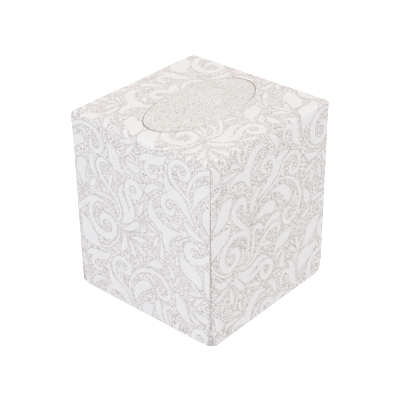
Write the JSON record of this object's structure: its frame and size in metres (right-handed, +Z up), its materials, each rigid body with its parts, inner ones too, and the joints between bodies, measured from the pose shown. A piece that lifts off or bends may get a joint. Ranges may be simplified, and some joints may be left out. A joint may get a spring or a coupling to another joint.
{
  "type": "tissue box",
  "caption": "Upright cube tissue box: folded paperboard carton with an oval tear-out top panel, slit film under it and a block of folded tissues inside.",
  "frame": {"origin": "middle of the carton's foot, on the surface it stands on", "axes": "+Z up, -Y the front panel, +X to the right of it and along the oval's long axis"},
  "size_m": [0.11, 0.11, 0.124],
  "materials": {
    "printed_board": "white paperboard printed with pale scrolls on a stippled grey-beige ground, dull varnish",
    "panel_board": "the same printed board, seen a little greyer and fainter inside the oval",
    "clear_film": "clear polyethylene film",
    "tissue_paper": "soft white creped tissue"
  },
  "bodies": {
    "root": {"carton": "printed_board", "tear_out_panel": "panel_board", "film_insert": "clear_film", "tissue_stack": "tissue_paper"}
  },
  "joints": []
}
